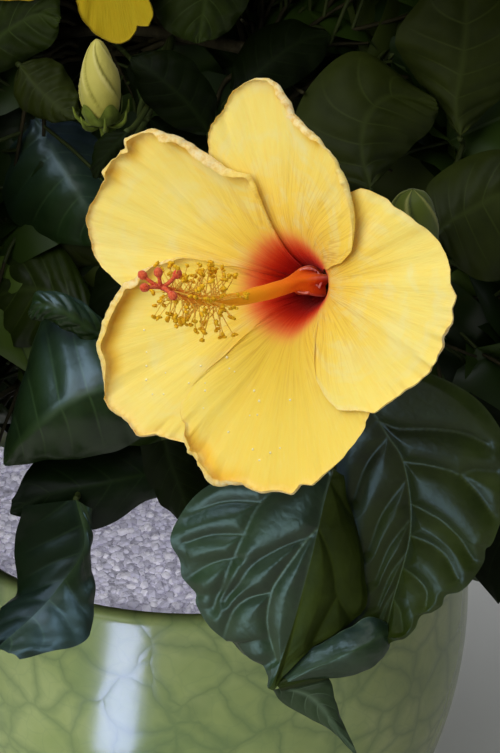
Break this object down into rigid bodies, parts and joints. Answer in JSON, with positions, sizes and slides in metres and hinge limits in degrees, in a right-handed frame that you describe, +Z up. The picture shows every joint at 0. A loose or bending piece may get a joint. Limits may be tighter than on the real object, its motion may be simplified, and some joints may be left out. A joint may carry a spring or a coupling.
{
  "type": "potted hibiscus shrub",
  "caption": "Potted hibiscus shrub: rounded crackle-glazed pot with gravel mulch, short forked woody stem, domed leafy crown, large open yellow blooms with red eyes, and buds.",
  "frame": {"origin": "middle of the pot's flat underside, at the surface it stands on", "axes": "+Z up along the plant's height, -Y towards the viewer of the picture (front), +X to the viewer's right"},
  "size_m": [0.5236, 0.5394, 0.7066],
  "materials": {
    "glaze": "glossy crackle glaze",
    "compost": "matte bark compost",
    "gravel": "matte",
    "bark": "matte bark",
    "leaf": "glossy leaf",
    "petal": "soft matte petal",
    "column": "matte",
    "calyx": "matte",
    "bud": "matte"
  },
  "bodies": {
    "root": {"bloom_back_calyx": "calyx", "bloom_back_column": "column", "bloom_back_petals": "petal", "bloom_front_calyx": "calyx", "bloom_front_column": "column", "bloom_front_petals": "petal", "bloom_left_calyx": "calyx", "bloom_left_column": "column", "bloom_left_petals": "petal", "bloom_right_calyx": "calyx", "bloom_right_column": "column", "bloom_right_petals": "petal", "bloom_upper_calyx": "calyx", "bloom_upper_column": "column", "bloom_upper_petals": "petal", "bough_leader": "bark", "bough_low_back_left": "bark", "bough_low_back_right": "bark", "bough_low_front_left": "bark", "bough_low_front_right": "bark", "bough_low_left": "bark", "bough_low_right": "bark", "bough_mid_back": "bark", "bough_mid_front": "bark", "bough_mid_left": "bark", "bough_mid_right": "bark", "bud_back": "bud", "bud_right": "bud", "bud_top": "bud", "bud_upper_left": "bud", "compost": "compost", "foliage_front_apron_left": "leaf", "foliage_front_apron_right": "leaf", "foliage_low_back_left": "leaf", "foliage_low_back_right": "leaf", "foliage_low_front_left": "leaf", "foliage_low_front_right": "leaf", "foliage_low_left": "leaf", "foliage_low_right": "leaf", "foliage_mid_back": "leaf", "foliage_mid_front": "leaf", "foliage_mid_front_left": "leaf", "foliage_mid_left": "leaf", "foliage_mid_right": "leaf", "foliage_top_back": "leaf", "foliage_top_left": "leaf", "foliage_top_right": "leaf", "gravel_mulch": "gravel", "pot": "glaze", "trunk": "bark"}
  },
  "joints": []
}
